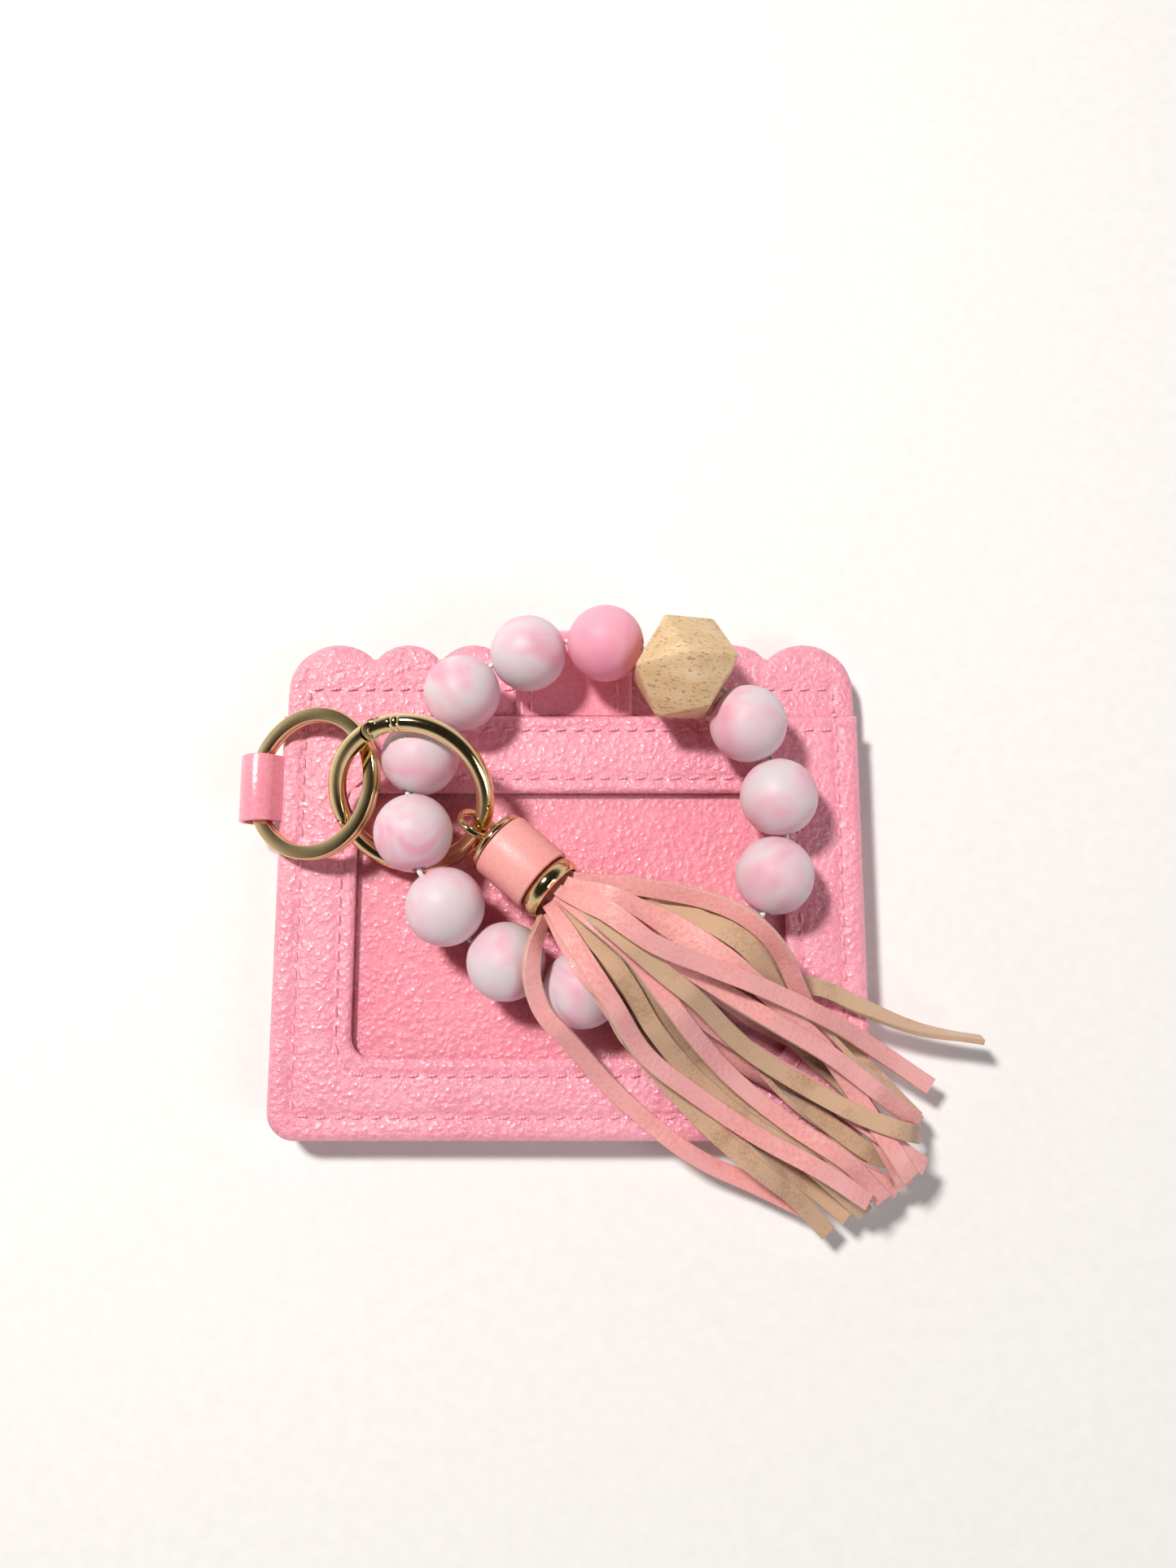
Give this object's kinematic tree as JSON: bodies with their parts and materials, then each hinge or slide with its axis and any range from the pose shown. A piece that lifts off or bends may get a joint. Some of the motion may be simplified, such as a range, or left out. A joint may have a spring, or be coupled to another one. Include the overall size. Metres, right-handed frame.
{
  "type": "wristlet keychain wallet",
  "caption": "Flat scalloped card wallet with an ID window, wrist bracelet of silicone beads, leather tassel and two key rings, lying on its back.",
  "frame": {"origin": "middle of the wallet's back face, which is the face it lies on", "axes": "+Z out of the wallet's front, +Y toward its scalloped top edge, +X to the right as seen from the front"},
  "size_m": [0.147, 0.1251, 0.0327],
  "materials": {
    "grained_leather": "pebbled, semi-gloss",
    "smooth_leather": "smooth, satin",
    "fringe_leather": "matte, suede back",
    "lining_cloth": "matte",
    "clear_film": "gloss",
    "gold": "polished",
    "marbled_silicone": "matte, marbled",
    "solid_silicone": "matte",
    "beech": "sanded",
    "elastic": "translucent"
  },
  "bodies": {
    "wallet": {"front_panel": "grained_leather", "back_panel": "grained_leather", "back_lining": "lining_cloth", "front_lining": "lining_cloth", "window_pocket": "grained_leather", "window_film": "clear_film", "back_pocket": "grained_leather", "strap_anchor": "smooth_leather", "snap_stud": "gold", "side_tab": "smooth_leather"},
    "strap": {"strap_flap": "smooth_leather", "snap_cap": "gold"},
    "split_coil": {"split_ring": "gold"},
    "gate_ring_body": {"gate_ring": "gold", "gate_pin": "gold"},
    "gate_arm": {"ring_gate": "gold"},
    "bracelet": {"elastic_cord": "elastic", "cord_knot": "elastic"},
    "tassel": {"tassel_cap": "gold", "tassel_band": "smooth_leather", "tassel_ferrule": "gold", "fringe": "fringe_leather"},
    "bead_01_body": {"bead_01": "marbled_silicone"},
    "bead_02_body": {"bead_02": "marbled_silicone"},
    "bead_03_body": {"bead_03": "solid_silicone"},
    "wood_bead_body": {"wood_bead": "beech"},
    "bead_04_body": {"bead_04": "marbled_silicone"},
    "bead_05_body": {"bead_05": "marbled_silicone"},
    "bead_06_body": {"bead_06": "marbled_silicone"},
    "bead_07_body": {"bead_07": "marbled_silicone"},
    "bead_08_body": {"bead_08": "marbled_silicone"},
    "bead_09_body": {"bead_09": "marbled_silicone"},
    "bead_10_body": {"bead_10": "marbled_silicone"},
    "bead_11_body": {"bead_11": "marbled_silicone"},
    "bead_12_body": {"bead_12": "marbled_silicone"},
    "bead_13_body": {"bead_13": "marbled_silicone"}
  },
  "joints": [
    {"name": "strap_open", "type": "hinge", "parent": "wallet", "child": "strap", "pos_m": [0, 0.04835, 0.0079], "axis": [1, 0, 0], "range_deg": [0, 110]},
    {"name": "split_ring_swing", "type": "hinge", "parent": "wallet", "child": "split_coil", "pos_m": [-0.0616, 0.0187, 0.0095], "axis": [0, -1, 0], "range_deg": [0, 120]},
    {"name": "gate_ring_swing", "type": "hinge", "parent": "split_coil", "child": "gate_ring_body", "pos_m": [-0.03754, 0.0187, 0.02021], "axis": [0, -1, 0], "range_deg": [0, 16]},
    {"name": "ring_gate_open", "type": "hinge", "parent": "gate_ring_body", "child": "gate_arm", "pos_m": [-0.03659, 0.02712, 0.02549], "axis": [-0.1274, -0.5145, 0.848], "range_deg": [0, 10], "stiffness_Nm_per_rad": 0.002},
    {"name": "bracelet_swing", "type": "hinge", "parent": "gate_ring_body", "child": "bracelet", "pos_m": [-0.03014, 0.0157, 0.01953], "axis": [0, 0, -1], "range_deg": [0, 4]},
    {"name": "tassel_swing", "type": "hinge", "parent": "gate_ring_body", "child": "tassel", "pos_m": [-0.01712, 0.00979, 0.0179], "axis": [-0.6561, -0.7547, 0], "range_deg": [0, 45]},
    {"name": "bead_01_spin", "type": "hinge", "parent": "bracelet", "child": "bead_01_body", "pos_m": [-0.02102, 0.0361, 0.0175], "axis": [0.7083, 0.7059, 0], "continuous": true},
    {"name": "bead_02_spin", "type": "hinge", "parent": "bracelet", "child": "bead_02_body", "pos_m": [-0.00816, 0.04392, 0.01789], "axis": [0.9514, 0.3038, 0.0505], "continuous": true},
    {"name": "bead_03_spin", "type": "hinge", "parent": "bracelet", "child": "bead_03_body", "pos_m": [0.00691, 0.04537, 0.01985], "axis": [0.9735, -0.1142, 0.1981], "continuous": true},
    {"name": "wood_bead_spin", "type": "hinge", "parent": "bracelet", "child": "wood_bead_body", "pos_m": [0.02214, 0.04009, 0.02141], "axis": [0.8647, -0.5023, 0], "continuous": true},
    {"name": "bead_04_spin", "type": "hinge", "parent": "bracelet", "child": "bead_04_body", "pos_m": [0.03418, 0.02941, 0.01985], "axis": [0.5698, -0.7976, -0.1981], "continuous": true},
    {"name": "bead_05_spin", "type": "hinge", "parent": "bracelet", "child": "bead_05_body", "pos_m": [0.03999, 0.01547, 0.01789], "axis": [0.1686, -0.9844, -0.0505], "continuous": true},
    {"name": "bead_06_spin", "type": "hinge", "parent": "bracelet", "child": "bead_06_body", "pos_m": [0.03886, 0.00049, 0.0175], "axis": [-0.315, -0.9491, 0], "continuous": true},
    {"name": "bead_07_spin", "type": "hinge", "parent": "bracelet", "child": "bead_07_body", "pos_m": [0.03077, -0.01215, 0.0175], "axis": [-0.7302, -0.6833, 0], "continuous": true},
    {"name": "bead_08_spin", "type": "hinge", "parent": "bracelet", "child": "bead_08_body", "pos_m": [0.01767, -0.01958, 0.0175], "axis": [-0.961, -0.2765, 0], "continuous": true},
    {"name": "bead_09_spin", "type": "hinge", "parent": "bracelet", "child": "bead_09_body", "pos_m": [0.00256, -0.02063, 0.0175], "axis": [-0.9899, 0.1419, 0], "continuous": true},
    {"name": "bead_10_spin", "type": "hinge", "parent": "bracelet", "child": "bead_10_body", "pos_m": [-0.0118, -0.01564, 0.0175], "axis": [-0.8648, 0.5021, 0], "continuous": true},
    {"name": "bead_11_spin", "type": "hinge", "parent": "bracelet", "child": "bead_11_body", "pos_m": [-0.02317, -0.00557, 0.01975], "axis": [-0.5792, 0.766, 0.279], "continuous": true},
    {"name": "bead_12_spin", "type": "hinge", "parent": "bracelet", "child": "bead_12_body", "pos_m": [-0.02938, 0.00819, 0.0205], "axis": [-0.195, 0.9622, -0.1902], "continuous": true},
    {"name": "bead_13_spin", "type": "hinge", "parent": "bracelet", "child": "bead_13_body", "pos_m": [-0.02871, 0.02321, 0.01825], "axis": [0.2831, 0.9542, -0.0964], "continuous": true}
  ]
}
